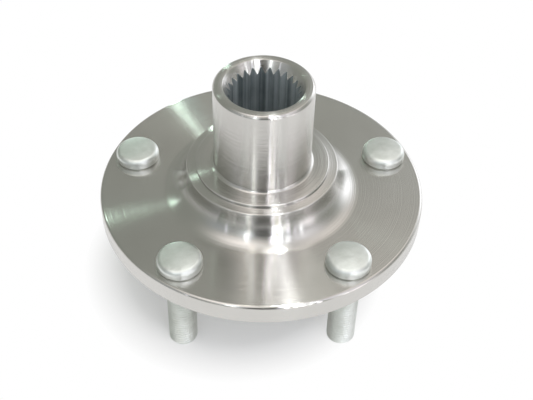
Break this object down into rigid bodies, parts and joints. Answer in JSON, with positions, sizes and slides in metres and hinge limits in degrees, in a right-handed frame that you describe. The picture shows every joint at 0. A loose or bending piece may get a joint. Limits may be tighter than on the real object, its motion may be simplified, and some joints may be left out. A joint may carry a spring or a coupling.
{
  "type": "wheel hub",
  "caption": "Driven wheel hub with a flange on a splined bearing journal, a wheel pilot and pressed-in wheel studs.",
  "frame": {"origin": "centre of the stud circle on the face that the brake disc and wheel seat on", "axes": "+Z along the axle towards the free end of the bearing journal, with one stud on the +Y side; the studs point along -Z"},
  "size_m": [0.1384, 0.1384, 0.0993],
  "materials": {
    "turned_steel": "fine turned steel with a light oil film",
    "zinc_plating": "dull pale zinc plating"
  },
  "bodies": {
    "root": {"hub_body": "turned_steel", "wheel_stud_1": "zinc_plating", "wheel_stud_2": "zinc_plating", "wheel_stud_3": "zinc_plating", "wheel_stud_4": "zinc_plating", "wheel_stud_5": "zinc_plating"}
  },
  "joints": []
}
